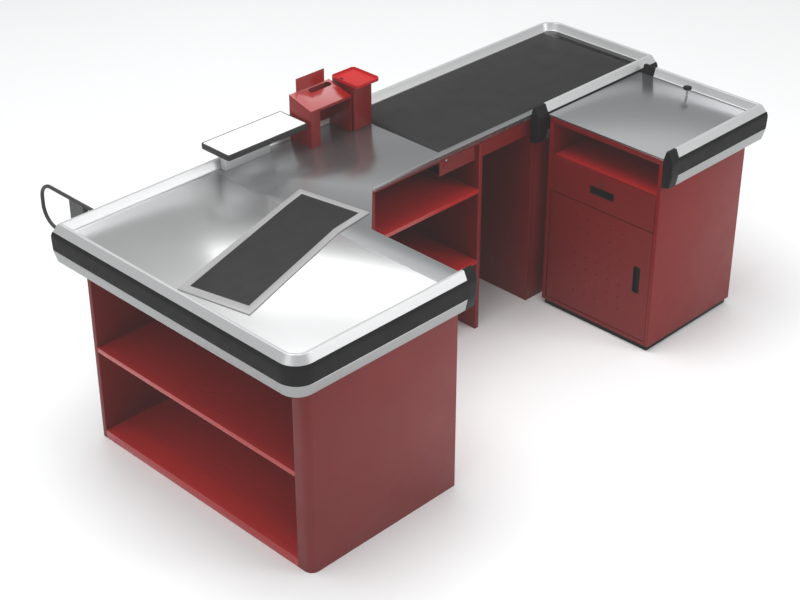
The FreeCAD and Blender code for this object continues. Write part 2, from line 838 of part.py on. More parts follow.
# ---------------------------------------------------------------- side cabinet
board(
    "side_plinth",
    ("side_start + plinth_recess", f"{SIDE_END} - plinth_recess"),
    ("side_near + plinth_recess", f"{SIDE_FAR} - plinth_recess"),
    ("0", "plinth_height"),
)
side_boards = [
    box(
        name,
        ("side_start", SIDE_END),
        (low, f"{low} + side_board"),
        ("plinth_height", f"{SIDE_UNDER_STEEL} - side_top_board"),
    )
    for name, low in (("side_near_board", "side_near"), ("side_far_board", SIDE_INSIDE_FAR))
]
node(group("side_panels", side_boards), "side_panels")
board(
    "side_back_panel",
    (f"{SIDE_END} - side_board", SIDE_END),
    (SIDE_INSIDE_NEAR, SIDE_INSIDE_FAR),
    ("plinth_height", f"{SIDE_UNDER_STEEL} - side_top_board"),
)
board(
    "side_bottom",
    ("side_start", f"{SIDE_END} - side_board"),
    (SIDE_INSIDE_NEAR, SIDE_INSIDE_FAR),
    ("plinth_height", "plinth_height + side_board"),
)
board(
    "side_niche_shelf",
    ("side_start + front_thick", f"{SIDE_END} - side_board"),
    (SIDE_INSIDE_NEAR, SIDE_INSIDE_FAR),
    ("niche_floor - side_board", "niche_floor"),
)
board(
    "side_top_board",
    ("side_start", SIDE_TOP_EDGE),
    ("side_near", SIDE_FAR),
    (f"{SIDE_UNDER_STEEL} - side_top_board", SIDE_UNDER_STEEL),
)
board(
    "side_worktop",
    ("side_start", SIDE_TOP_EDGE),
    ("side_near", f"{SIDE_FAR} + side_far_overhang"),
    (SIDE_UNDER_STEEL, "worktop_height"),
)
links = [
    box(
        name,
        (place, f"{place} + link_width"),
        (SIDE_FAR, "service_front"),
        ("upper_shelf_top", "upper_shelf_top + link_height"),
    )
    for name, place in (("link_front", "side_start + 60"), ("link_back", f"{SIDE_END} - 100"))
]
node(group("cabinet_links", links), "cabinet_links")

# ---------------------------------------------------------------- drawer
FRONT_NEAR = f"({SIDE_INSIDE_NEAR} + front_gap)"
FRONT_FAR = f"({SIDE_INSIDE_FAR} - front_gap)"
FRONT_BACK = "(side_start + front_thick)"


def pull_space(name, centre, height, half_y, half_z, grow, front, depth):
    """The block that a recessed pull fills, or is hollowed by."""
    return box(
        name,
        (front, depth),
        (f"{centre} - {half_y} / 2 - {grow}", f"{centre} + {half_y} / 2 + {grow}"),
        (f"{height} - {half_z} / 2 - {grow}", f"{height} + {half_z} / 2 + {grow}"),
    )


def pull(name, centre, height, half_y, half_z):
    """A black plastic cup with a thin lip over the panel."""
    lip = pull_space(name + "_lip", centre, height, half_y, half_z, "2", "side_start - pull_lip", "side_start")
    cup = pull_space(name + "_cup", centre, height, half_y, half_z, "0", "side_start", "side_start + pull_depth")
    hollow = pull_space(
        name + "_hollow",
        centre,
        height,
        half_y,
        half_z,
        "-pull_wall",
        "side_start - pull_lip - 1",
        "side_start + pull_depth - pull_wall",
    )
    return node(cut(name, fuse(name + "_outside", [lip, cup]), [hollow]), name)


DRAWER_PULL = ("(side_near + drawer_pull_centre)", "drawer_pull_height", "pull_long", "pull_short")
DOOR_PULL = ("(side_near + door_pull_centre)", "door_pull_height", "pull_short", "pull_long")
LOCK_Y = "(side_near + lock_centre)"

front_blank = box(
    "drawer_front_blank",
    ("side_start", FRONT_BACK),
    (FRONT_NEAR, FRONT_FAR),
    ("drawer_low", "niche_floor - front_gap"),
)
drawer_seat = pull_space("drawer_pull_seat", *DRAWER_PULL, "0", "side_start - 1", "side_start + pull_depth")
lock_hole = cylinder(
    "lock_hole",
    ("side_start - 1", LOCK_Y, "lock_height"),
    "lock_radius + running_clearance",
    "front_thick + 2",
    ALONG_X,
)
node(cut("drawer_front", front_blank, [drawer_seat, lock_hole]), "drawer_front")

TRAY_NEAR = f"({SIDE_INSIDE_NEAR} + runner_thick + runner_gap)"
TRAY_FAR = f"({SIDE_INSIDE_FAR} - runner_thick - runner_gap)"
TRAY_LOW = "(drawer_low + tray_lift)"
tray_blank = box(
    "drawer_tray_blank",
    (FRONT_BACK, f"{FRONT_BACK} + tray_depth"),
    (TRAY_NEAR, TRAY_FAR),
    (TRAY_LOW, f"{TRAY_LOW} + tray_height"),
)
tray_hollow = box(
    "drawer_tray_hollow",
    (f"{FRONT_BACK} + tray_wall", f"{FRONT_BACK} + tray_depth - tray_wall"),
    (f"{TRAY_NEAR} + tray_wall", f"{TRAY_FAR} - tray_wall"),
    (f"{TRAY_LOW} + tray_floor", f"{TRAY_LOW} + tray_height + 1"),
)
node(cut("drawer_tray", tray_blank, [tray_hollow]), "drawer_tray")
pull("drawer_pull", *DRAWER_PULL)
runners = [
    box(
        name,
        (f"{FRONT_BACK} + 4", f"{FRONT_BACK} + tray_depth"),
        span,
        (f"{TRAY_LOW} + 30", f"{TRAY_LOW} + 30 + runner_height"),
    )
    for name, span in (
        ("runner_near", (SIDE_INSIDE_NEAR, f"{SIDE_INSIDE_NEAR} + runner_thick")),
        ("runner_far", (f"{SIDE_INSIDE_FAR} - runner_thick", SIDE_INSIDE_FAR)),
    )
]
node(group("drawer_runners", runners), "drawer_runners")

# The lock's barrel turns in the drawer front, and its cam lies behind it.
barrel = cylinder(
    "lock_barrel",
    ("side_start - 2", LOCK_Y, "lock_height"),
    "lock_radius",
    "front_thick + 5",
    ALONG_X,
)
cam = box(
    "lock_cam_arm",
    (f"{FRONT_BACK} + 0.3", f"{FRONT_BACK} + 3"),
    (LOCK_Y, f"{LOCK_Y} + lock_cam"),
    ("lock_height - 4", "lock_height + 4"),
)
node(fuse("drawer_lock", [barrel, cam]), "drawer_lock")

# ---------------------------------------------------------------- door
door, door_pad = slab(
    "door_panel",
    [("side_start", FRONT_NEAR), (FRONT_BACK, FRONT_NEAR), (FRONT_BACK, FRONT_FAR), ("side_start", FRONT_FAR)],
    ("door_low", "door_high"),
)
round_edges(
    door,
    "door_hinge_edge",
    door_pad,
    [("side_start", FRONT_FAR), (FRONT_BACK, FRONT_FAR)],
    "front_thick / 2 - 0.1",
)
door_seat = outline(
    door,
    "door_pull_seat",
    "YZ_Plane",
    [
        (f"{DOOR_PULL[0]} - pull_short / 2", "door_pull_height - pull_long / 2"),
        (f"{DOOR_PULL[0]} + pull_short / 2", "door_pull_height - pull_long / 2"),
        (f"{DOOR_PULL[0]} + pull_short / 2", "door_pull_height + pull_long / 2"),
        (f"{DOOR_PULL[0]} - pull_short / 2", "door_pull_height + pull_long / 2"),
    ],
    "side_start",
)
pocket(door, "door_pull_pocket", door_seat, "pull_depth", True)


def circles(body, name, role, spots, radius, offset):
    """A sketch of equal circles whose centres are bound to the sizes."""
    sketch = body.newObject("Sketcher::SketchObject", name)
    sketch.AttachmentSupport = [(plane_of(body, role), "")]
    sketch.MapMode = "FlatFace"
    sketch.setExpression(".AttachmentOffset.Base.z", bind(offset))
    for index, (across, up) in enumerate(spots):
        centre = Vector(val(across), val(up), 0)
        sketch.addGeometry(Part.Circle(centre, Vector(0, 0, 1), val(radius)))
        for kind, text, now in (
            ("DistanceX", across, centre.x),
            ("DistanceY", up, centre.y),
            ("Radius", radius, val(radius)),
        ):
            if kind == "Radius":
                number = sketch.addConstraint(Sketcher.Constraint(kind, index, now))
            else:
                number = sketch.addConstraint(Sketcher.Constraint(kind, index, 3, now))
            label = f"{kind}_{index}"
            sketch.renameConstraint(number, label)
            sketch.setExpression(f"Constraints.{label}", bind(text))
    return sketch


# Vent holes stand in a square grid, as many rows as the door's height takes.
vents = []
vent_rows = int(val("door_high - door_low - 2 * vent_margin") / val("vent_pitch")) + 1
for row in range(vent_rows):
    for column in range(5):
        across = f"side_near + side_width / 2 + {column - 2} * vent_pitch"
        vents.append((across, f"door_pull_height + {row - (vent_rows - 1) / 2} * vent_pitch"))
vent_sketch = circles(door, "door_vents_outline", "YZ_Plane", vents, "vent_radius", "side_start - 1")
pocket(door, "door_vents", vent_sketch, "front_thick + 2", True)
low_pivot = circles(
    door,
    "door_low_pivot_outline",
    "XY_Plane",
    [(PIVOT_X, PIVOT_Y)],
    "pivot_radius + running_clearance",
    "door_low",
)
pocket(door, "door_low_pivot", low_pivot, "pivot_depth + 0.5", True)
high_pivot = circles(
    door,
    "door_high_pivot_outline",
    "XY_Plane",
    [(PIVOT_X, PIVOT_Y)],
    "pivot_radius + running_clearance",
    "door_high",
)
pocket(door, "door_high_pivot", high_pivot, "pivot_depth + 0.5")
node(door, "door_panel")
pull("door_pull", *DOOR_PULL)

low_pin = cylinder(
    "pivot_low_pin",
    (PIVOT_X, PIVOT_Y, "plinth_height + side_board"),
    "pivot_radius",
    "door_low - plinth_height - side_board + pivot_depth",
)
high_pin = cylinder(
    "pivot_high_pin",
    (PIVOT_X, PIVOT_Y, "door_high - pivot_depth"),
    "pivot_radius",
    "pivot_depth + 2",
)
pivot_arm = box(
    "pivot_arm",
    (f"{PIVOT_X} - 7", f"{PIVOT_X} + 7"),
    (f"{PIVOT_Y} - 7", SIDE_INSIDE_FAR),
    ("door_high + 0.5", "door_high + 0.5 + pivot_plate"),
)
node(group("door_pivots", [low_pin, fuse("pivot_upper", [high_pin, pivot_arm])]), "door_pivots")

# ---------------------------------------------------------------- payment console
BACK = "(counter_depth - 1)"


def sloped(body, name, start, front_drop, inset):
    """A side outline of the console: upright front and back under a rising top."""
    corners = [
        (f"console_front + {inset}", "worktop_height"),
        (f"{BACK} - {inset}", "worktop_height"),
        (f"{BACK} - {inset}", f"worktop_height + console_back_height - sheet + {front_drop}"),
        (f"console_front + {inset}", f"worktop_height + console_front_height - sheet + {front_drop}"),
    ]
    return outline(body, name, "YZ_Plane", corners, start)


console = doc.addObject("PartDesign::Body", "console_body")
shell_sketch = sloped(console, "console_side", "console_start", "0", "0")
pad(console, "console_block", shell_sketch, "console_right - console_start")
hollow_sketch = outline(
    console,
    "console_inside",
    "XY_Plane",
    [
        ("console_start + sheet", "console_front + sheet"),
        ("console_right - sheet", "console_front + sheet"),
        ("console_right - sheet", f"{BACK} - sheet"),
        ("console_start + sheet", f"{BACK} - sheet"),
    ],
    "worktop_height - 1",
)
pocket(console, "console_hollow", hollow_sketch, "console_back_height + 10", True)
mouth_sketch = outline(
    console,
    "console_mouth_outline",
    "XZ_Plane",
    [
        ("console_start + console_leg", "worktop_height - 1"),
        ("console_right - sheet", "worktop_height - 1"),
        ("console_right - sheet", "worktop_height + console_front_height - 12"),
        ("console_start + console_leg", "worktop_height + console_front_height - 12"),
    ],
    "-(console_front - 1)",
)
pocket(console, "console_mouth", mouth_sketch, "sheet + 2")
pass_sketch = outline(
    console,
    "console_pass_outline",
    "XZ_Plane",
    [
        ("console_start + console_leg", "worktop_height - 1"),
        ("console_right - sheet", "worktop_height - 1"),
        ("console_right - sheet", "worktop_height + console_pass"),
        ("console_start + console_leg", "worktop_height + console_pass"),
    ],
    f"-({BACK} - sheet - 1)",
)
pocket(console, "console_cable_pass", pass_sketch, "sheet + 2")
node(console, "console_body")

panel = doc.addObject("PartDesign::Body", "console_panel")
panel_corners = [
    ("console_front", "worktop_height + console_front_height - sheet"),
    (BACK, "worktop_height + console_back_height - sheet"),
    (BACK, "worktop_height + console_back_height"),
    ("console_front", "worktop_height + console_front_height"),
]
panel_side = outline(panel, "console_panel_side", "YZ_Plane", panel_corners, "console_start")
pad(panel, "console_panel_plate", panel_side, "console_right - console_start")
upstand = outline(
    panel,
    "console_upstand_outline",
    "XZ_Plane",
    [
        ("upstand_start", "worktop_height + console_back_height - sheet / 2"),
        ("upstand_end", "worktop_height + console_back_height - sheet / 2"),
        ("upstand_end", "worktop_height + console_back_height + upstand_height"),
        ("upstand_start", "worktop_height + console_back_height + upstand_height"),
    ],
    f"-{BACK}",
)
pad(panel, "console_upstand", upstand, "sheet")
SLOT_Y = f"({BACK} - slot_setback)"
SLOT_HALF = "((slot_long - slot_wide) / 2)"
SLOT_BASE = "worktop_height + console_front_height - 10"
SLOT_RISE = "console_back_height - console_front_height + 20"
slot_outline = outline(
    panel,
    "console_slot_outline",
    "XY_Plane",
    [
        (f"slot_centre - {SLOT_HALF}", f"{SLOT_Y} - slot_wide / 2"),
        (f"slot_centre + {SLOT_HALF}", f"{SLOT_Y} - slot_wide / 2"),
        (f"slot_centre + {SLOT_HALF}", f"{SLOT_Y} + slot_wide / 2"),
        (f"slot_centre - {SLOT_HALF}", f"{SLOT_Y} + slot_wide / 2"),
    ],
    SLOT_BASE,
)
pocket(panel, "console_slot", slot_outline, SLOT_RISE, True)
for label, sign in (("left", "-"), ("right", "+")):
    slot_end = circles(
        panel,
        f"console_slot_{label}_outline",
        "XY_Plane",
        [(f"slot_centre {sign} {SLOT_HALF}", SLOT_Y)],
        "slot_wide / 2",
        SLOT_BASE,
    )
    pocket(panel, f"console_slot_{label}", slot_end, SLOT_RISE, True)
node(panel, "console_panel")

column_block = box(
    "column_block",
    ("console_split", "console_end"),
    ("console_front", BACK),
    ("worktop_height", "worktop_height + column_height"),
)
column_hollow = box(
    "column_hollow",
    ("console_split + sheet", "console_end - sheet"),
    ("console_front + sheet", f"{BACK} - sheet"),
    ("worktop_height - 1", "worktop_height + column_height - sheet"),
)
node(cut("terminal_column", column_block, [column_hollow]), "terminal_column")

cup, cup_pad = slab(
    "terminal_tray",
    [
        ("console_split - tray_side_lap", "console_front - tray_front_lap"),
        ("console_end + tray_right_lap", "console_front - tray_front_lap"),
        ("console_end + tray_right_lap", BACK),
        ("console_split - tray_side_lap", BACK),
    ],
    ("worktop_height + column_height", "worktop_height + column_height + cup_height"),
)
cup_corners = [
    ("console_split - tray_side_lap", "console_front - tray_front_lap"),
    ("console_end + tray_right_lap", "console_front - tray_front_lap"),
    ("console_end + tray_right_lap", BACK),
    ("console_split - tray_side_lap", BACK),
]
cup_inner_corners = [
    ("console_split - tray_side_lap + cup_wall", "console_front - tray_front_lap + cup_wall"),
    ("console_end + tray_right_lap - cup_wall", "console_front - tray_front_lap + cup_wall"),
    ("console_end + tray_right_lap - cup_wall", f"{BACK} - cup_wall"),
    ("console_split - tray_side_lap + cup_wall", f"{BACK} - cup_wall"),
]
cup_inside = outline(
    cup,
    "terminal_tray_inside",
    "XY_Plane",
    cup_inner_corners,
    "worktop_height + column_height + cup_wall",
)
cup_hollow = pocket(cup, "terminal_tray_hollow", cup_inside, "cup_height", True)
cup_soft = round_edges(cup, "terminal_tray_inner_round", cup_hollow, cup_inner_corners, "cup_round - cup_wall")
round_edges(cup, "terminal_tray_round", cup_soft, cup_corners, "cup_round")
node(cup, "terminal_tray")

# ---------------------------------------------------------------- customer shelf
shelf, shelf_pad = slab(
    "customer_shelf",
    [
        ("shelf_start", "shelf_front"),
        ("shelf_start + shelf_length", "shelf_front"),
        ("shelf_start + shelf_length", "shelf_front + shelf_depth"),
        ("shelf_start", "shelf_front + shelf_depth"),
    ],
    ("worktop_height + shelf_under", "worktop_height + shelf_under + shelf_thick"),
)
round_edges(
    shelf,
    "customer_shelf_round",
    shelf_pad,
    [
        ("shelf_start", "shelf_front"),
        ("shelf_start + shelf_length", "shelf_front"),
        ("shelf_start + shelf_length", "shelf_front + shelf_depth"),
        ("shelf_start", "shelf_front + shelf_depth"),
    ],
    "shelf_round",
)
node(shelf, "customer_shelf")
bracket_block = box(
    "bracket_block",
    ("bracket_start", "bracket_start + bracket_length"),
    (f"{BACK} - bracket_depth", BACK),
    ("worktop_height", "worktop_height + shelf_under"),
)
bracket_hollow = box(
    "bracket_hollow",
    ("bracket_start + sheet", "bracket_start + bracket_length - sheet"),
    (f"{BACK} - bracket_depth + sheet", f"{BACK} - sheet"),
    ("worktop_height - 1", "worktop_height + shelf_under - sheet"),
)
node(cut("shelf_bracket", bracket_block, [bracket_hollow]), "shelf_bracket")

# ---------------------------------------------------------------- lane gate
RAIL_FOOT = (
    "(worktop_height + rail_rise - rail_outer_drop - rubber_height - rail_low_drop - rail_foot_drop - gate_arm_drop)"
)
arm = box(
    "gate_arm",
    ("gate_place - gate_arm_width / 2", "gate_place + gate_arm_width / 2"),
    (CUSTOMER_FACE, f"{GATE_PIVOT_Y} + gate_sleeve_radius"),
    (f"{RAIL_FOOT} - gate_arm_height", RAIL_FOOT),
)
pin = cylinder(
    "gate_pin",
    ("gate_place", GATE_PIVOT_Y, f"{RAIL_FOOT} - gate_arm_height / 2"),
    "gate_pin_radius",
    f"gate_top - gate_sleeve_drop - gate_sleeve_cover - gate_pin_gap - {RAIL_FOOT} + gate_arm_height / 2",
)
node(fuse("gate_bracket", [arm, pin]), "gate_bracket")


def gate_shape():
    """Bent tube, stiffening plate and the sleeve that turns on the pin."""
    place = val("gate_place")
    pivot = val(GATE_PIVOT_Y)
    end = pivot + val("gate_reach")
    high, low = val("gate_top"), val("gate_low")
    high_bend, low_bend = val("gate_top_bend"), val("gate_low_bend")
    tube = val("gate_tube_radius")
    tail = val("gate_tail")
    half = math.sqrt(0.5)

    def spot(along, height):
        return Vector(place, along, height)

    top_middle = spot(end - high_bend * (1 - half), high - high_bend * (1 - half))
    low_middle = spot(end - low_bend * (1 - half), low + low_bend * (1 - half))
    edges = [
        Part.LineSegment(spot(pivot - tail, high), spot(end - high_bend, high)).toShape(),
        Part.Arc(spot(end - high_bend, high), top_middle, spot(end, high - high_bend)).toShape(),
        Part.LineSegment(spot(end, high - high_bend), spot(end, low + low_bend)).toShape(),
        Part.Arc(spot(end, low + low_bend), low_middle, spot(end - low_bend, low)).toShape(),
        Part.LineSegment(spot(end - low_bend, low), spot(pivot, low)).toShape(),
    ]
    path = Part.Wire(edges)
    ring = Part.Wire(Part.makeCircle(tube, spot(pivot - tail, high), NORTH))
    bent = path.makePipeShell([ring], True, False)
    plate_thick = val("gate_plate_thick")
    plate = Part.makeBox(
        plate_thick,
        val("gate_plate_length"),
        high - low,
        Vector(place - plate_thick / 2, pivot, low),
    )
    sleeve_low = val(RAIL_FOOT) + val("gate_gap")
    sleeve_high = high - val("gate_sleeve_drop")
    sleeve = Part.makeCylinder(
        val("gate_sleeve_radius"),
        sleeve_high - sleeve_low,
        Vector(place, pivot, sleeve_low),
    )
    bore = Part.makeCylinder(
        val("gate_pin_radius + running_clearance"),
        sleeve_high - val("gate_sleeve_cover") - sleeve_low + 20,
        Vector(place, pivot, sleeve_low - 20),
    )
    return bent.fuse([plate, sleeve]).cut(bore)


shaped("gate_loop", gate_shape())

# ---------------------------------------------------------------- push button
base = cylinder(
    "button_base_block",
    (BUTTON_X, BUTTON_Y, "worktop_height"),
    "button_base_radius",
    "button_height - button_thick - button_travel - 0.5",
)
base_hole = cylinder(
    "button_base_hole",
    (BUTTON_X, BUTTON_Y, "worktop_height + 4"),
    "button_stem_radius + running_clearance",
    "button_height",
)
node(cut("button_base", base, [base_hole]), "button_base")
cap = cylinder(
    "button_cap",
    (BUTTON_X, BUTTON_Y, "worktop_height + button_height - button_thick"),
    "button_radius",
    "button_thick",
)
stem = cylinder(
    "button_stem",
    (BUTTON_X, BUTTON_Y, "worktop_height + 4 + button_travel + 0.5"),
    "button_stem_radius",
    "button_height - 4 - button_travel - 0.5 - button_thick / 2",
)
node(fuse("button_head", [cap, stem]), "button_head")

# ---------------------------------------------------------------- checks and export
doc.recompute()
for thing in doc.Objects:
    if "Invalid" in thing.State or "Error" in thing.State:
        raise RuntimeError(f"{thing.Label} is {thing.State}")
os.makedirs("parts", exist_ok=True)
for name, thing in nodes.items():
    if thing.Shape.isNull() or not thing.Shape.isValid() or not thing.Shape.Solids:
        raise RuntimeError(f"{name} has no valid shape")
    thing.Shape.exportStep(f"parts/{name}.step")
print(len(nodes), "nodes")
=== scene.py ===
"""Looks of the checkout counter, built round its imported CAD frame."""

import json
import math

import bmesh
import bpy
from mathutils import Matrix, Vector


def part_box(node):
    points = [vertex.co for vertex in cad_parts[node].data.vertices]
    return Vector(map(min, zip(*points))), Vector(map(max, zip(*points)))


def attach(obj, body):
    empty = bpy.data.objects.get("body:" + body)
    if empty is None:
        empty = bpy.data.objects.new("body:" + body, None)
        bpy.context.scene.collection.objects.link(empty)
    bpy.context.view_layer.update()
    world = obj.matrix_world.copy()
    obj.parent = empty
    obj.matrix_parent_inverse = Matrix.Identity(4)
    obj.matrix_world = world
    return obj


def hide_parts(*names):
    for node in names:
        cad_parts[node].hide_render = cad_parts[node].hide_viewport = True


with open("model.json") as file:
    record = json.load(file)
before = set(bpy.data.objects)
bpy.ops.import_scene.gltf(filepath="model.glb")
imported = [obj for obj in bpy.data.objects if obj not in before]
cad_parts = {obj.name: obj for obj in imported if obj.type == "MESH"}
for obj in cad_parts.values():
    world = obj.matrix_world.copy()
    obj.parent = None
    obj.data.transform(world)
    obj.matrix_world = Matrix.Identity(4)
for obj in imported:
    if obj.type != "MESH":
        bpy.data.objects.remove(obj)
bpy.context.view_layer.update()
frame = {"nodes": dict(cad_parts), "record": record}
RECORD = frame["record"]
BODY_OF = {node: body for body, nodes in RECORD["behaviour"]["bodies"].items() for node in nodes}
SLOT_OF = {part["node"]: part["material_slot"] for part in RECORD["subparts"]}
EAST = Vector((1, 0, 0))
NORTH = Vector((0, 1, 0))
UP = Vector((0, 0, 1))


# ---------------------------------------------------------------- materials
class Shader:
    """A material's node tree with short ways to add and join nodes."""

    def __init__(self, name):
        self.material = bpy.data.materials.new(name)
        self.material.use_nodes = True
        self.tree = self.material.node_tree
        self.tree.nodes.clear()
        self.out = self.tree.nodes.new("ShaderNodeOutputMaterial")
        self.surface = self.tree.nodes.new("ShaderNodeBsdfPrincipled")
        self.link(self.surface.outputs["BSDF"], self.out.inputs["Surface"])
        self.coords = self.tree.nodes.new("ShaderNodeTexCoord")
        self.normal = None

    def link(self, source, target):
        self.tree.links.new(source, target)

    def put(self, **values):
        for label, value in values.items():
            self.surface.inputs[label.replace("_", " ")].default_value = value

    def stretched(self, scale):
        mapping = self.tree.nodes.new("ShaderNodeMapping")
        mapping.inputs["Scale"].default_value = scale
        self.link(self.coords.outputs["Object"], mapping.inputs["Vector"])
        return mapping.outputs["Vector"]

    def noise(self, scale, detail=3.0, roughness=0.55, stretch=(1, 1, 1)):
        node = self.tree.nodes.new("ShaderNodeTexNoise")
        node.inputs["Scale"].default_value = scale
        node.inputs["Detail"].default_value = detail
        node.inputs["Roughness"].default_value = roughness
        self.link(self.stretched(stretch), node.inputs["Vector"])
        return node.outputs["Fac"]

    def ramp(self, source, low, high, start=0.3, end=0.7):
        """A value or colour that goes from low to high with the source."""
        if isinstance(low, (int, float)):
            node = self.tree.nodes.new("ShaderNodeMapRange")
            node.inputs["From Min"].default_value = start
            node.inputs["From Max"].default_value = end
            node.inputs["To Min"].default_value = low
            node.inputs["To Max"].default_value = high
            self.link(source, node.inputs["Value"])
            return node.outputs["Result"]
        node = self.tree.nodes.new("ShaderNodeValToRGB")
        node.color_ramp.elements[0].position = start
        node.color_ramp.elements[1].position = end
        node.color_ramp.elements[0].color = (*low, 1)
        node.color_ramp.elements[1].color = (*high, 1)
        self.link(source, node.inputs["Fac"])
        return node.outputs["Color"]

    def bump(self, height, strength, distance):
        node = self.tree.nodes.new("ShaderNodeBump")
        node.inputs["Strength"].default_value = strength
        node.inputs["Distance"].default_value = distance
        self.link(height, node.inputs["Height"])
        if self.normal is not None:
            self.link(self.normal, node.inputs["Normal"])
        self.normal = node.outputs["Normal"]
        self.link(self.normal, self.surface.inputs["Normal"])

    def colour(self, source):
        self.link(source, self.surface.inputs["Base Color"])

    def rough(self, source):
        self.link(source, self.surface.inputs["Roughness"])


def grey(level):
    return (level, level, level)


def painted(name, dark, light, rough, peel, coat=0.0, specular=0.32):
    """Satin paint or laminate: slow colour drift, hazy wipe marks and a fine orange peel."""
    shader = Shader(name)
    drift = shader.noise(2.2, detail=5.0)
    shader.colour(shader.ramp(drift, dark, light))
    wipes = shader.noise(7.0, detail=6.0, roughness=0.65)
    shader.rough(shader.ramp(wipes, rough[0], rough[1]))
    orange_peel = shader.noise(900.0, detail=2.0)
    shader.bump(orange_peel, peel, distance=0.0004)
    shader.put(Specular_IOR_Level=specular)
    if coat:
        shader.put(Coat_Weight=coat, Coat_Roughness=0.12)
    return shader.material


def brushed(name, dark, light, stretch, rough, metallic, depth=0.02):
    """Brushed metal: long fine scratches along one way, over slow smudges."""
    shader = Shader(name)
    scratches = shader.noise(1.0, detail=4.0, roughness=0.7, stretch=stretch)
    shader.colour(shader.ramp(scratches, dark, light, start=0.25, end=0.75))
    wider = tuple(value * 0.55 for value in stretch)
    smudges = shader.noise(1.0, detail=3.0, roughness=0.6, stretch=wider)
    shader.rough(shader.ramp(smudges, rough[0], rough[1]))
    shader.bump(scratches, depth, distance=0.0003)
    shader.put(Metallic=metallic)
    return shader.material


def grained(name, dark, light, scale, rough, depth):
    """Moulded rubber or plastic with a fine leathery grain."""
    shader = Shader(name)
    cells = shader.tree.nodes.new("ShaderNodeTexVoronoi")
    cells.inputs["Scale"].default_value = scale
    shader.link(shader.stretched((1, 1, 1)), cells.inputs["Vector"])
    dust = shader.noise(6.0, detail=5.0)
    shader.colour(shader.ramp(dust, dark, light))
    wear = shader.noise(30.0)
    shader.rough(shader.ramp(wear, rough[0], rough[1]))
    shader.bump(cells.outputs["Distance"], depth, distance=0.0005)
    shader.put(Specular_IOR_Level=0.09)
    return shader.material


def woven(name, dark, light, pitch):
    """Conveyor belt cover: a fine crosswise rib over faint wear along the run."""
    shader = Shader(name)
    wave = shader.tree.nodes.new("ShaderNodeTexWave")
    wave.wave_type = "BANDS"
    wave.bands_direction = "DIAGONAL"
    wave.inputs["Scale"].default_value = pitch
    wave.inputs["Distortion"].default_value = 0.4
    shader.link(shader.stretched((1, 1, 1)), wave.inputs["Vector"])
    wear = shader.noise(1.0, detail=4.0, roughness=0.6, stretch=(2.0, 26.0, 2.0))
    shader.colour(shader.ramp(wear, dark, light))
    scuffs = shader.noise(9.0, detail=4.0)
    shader.rough(shader.ramp(scuffs, 0.55, 0.72))
    shader.bump(wave.outputs["Fac"], 0.08, distance=0.0003)
    fibres = shader.noise(1200.0, detail=2.0)
    shader.bump(fibres, 0.10, distance=0.0003)
    shader.put(Specular_IOR_Level=0.25)
    return shader.material


# How a brushed finish is drawn out along X, Y and Z: the smaller the value, the longer its scratches.
GRAIN_ALONG_X = (6, 1400, 1400)
GRAIN_ALONG_Y = (1400, 6, 1400)
GRAIN_ACROSS_FRAME = (900, 200, 900)
GRAIN_UPRIGHT = (900, 900, 60)
GRAIN_EVEN = (400, 400, 400)

LOOKS = {
    "red_laminate": painted(
        "RedLaminate", (0.165, 0.003, 0.003), (0.195, 0.005, 0.005), rough=(0.40, 0.52), peel=0.06
    ),
    "red_metal": painted(
        "RedPowderCoat", (0.19, 0.004, 0.004), (0.22, 0.006, 0.006), rough=(0.34, 0.42), peel=0.05
    ),
    "steel": brushed(
        "BrushedSteelAlongX",
        (0.405, 0.416, 0.424),
        (0.445, 0.457, 0.466),
        GRAIN_ALONG_X,
        rough=(0.20, 0.27),
        metallic=0.9,
    ),
    "rail_aluminium": brushed(
        "SatinAluminium",
        (0.58, 0.585, 0.59),
        (0.64, 0.645, 0.65),
        GRAIN_EVEN,
        rough=(0.36, 0.44),
        metallic=0.6,
    ),
    "bumper_rubber": grained(
        "BumperRubber", grey(0.004), grey(0.007), scale=700.0, rough=(0.42, 0.55), depth=0.10
    ),
    "belt_rubber": woven("BeltCover", grey(0.011), grey(0.014), pitch=260.0),
    "black_plastic": grained(
        "BlackPlastic", grey(0.005), grey(0.009), scale=1200.0, rough=(0.34, 0.48), depth=0.08
    ),
    "dark_metal": painted(
        "BlackPowderCoat", (0.030, 0.030, 0.032), (0.042, 0.042, 0.044), rough=(0.36, 0.48), peel=0.18
    ),
    "white_laminate": painted(
        "WhiteLaminate", (0.86, 0.86, 0.85), (0.90, 0.90, 0.89), rough=(0.30, 0.40), peel=0.05
    ),
    "chrome": brushed(
        "PlatedSteel",
        (0.62, 0.62, 0.63),
        (0.72, 0.72, 0.73),
        GRAIN_EVEN,
        rough=(0.12, 0.2),
        metallic=1.0,
    ),
}
# Painted sheen: the packing plate's steel, brushed along Y, is a much brighter copy of the worktop steel,
# standing in for the bright light it reflects.
PACKING_STEEL_PAINTED_SHEEN = brushed(
    "BrushedSteelAlongYPaintedSheen",
    (0.78, 0.785, 0.79),
    (0.84, 0.845, 0.85),
    GRAIN_ALONG_Y,
    rough=(0.20, 0.26),
    metallic=1.0,
)
EDGE_BAND = painted(
    "BlackEdgeBand", (0.016, 0.016, 0.017), (0.026, 0.026, 0.027), rough=(0.4, 0.5), peel=0.08
)
FRAME_STEEL = brushed(
    "FrameSteel",
    grey(0.34),
    grey(0.38),
    GRAIN_ACROSS_FRAME,
    rough=(0.42, 0.5),
    metallic=0.25,
    depth=0.03,
)
BRACKET_STEEL = brushed(
    "BracketSteel",
    (0.66, 0.665, 0.67),
    (0.72, 0.725, 0.73),
    GRAIN_UPRIGHT,
    rough=(0.34, 0.42),
    metallic=0.3,
    depth=0.03,
)
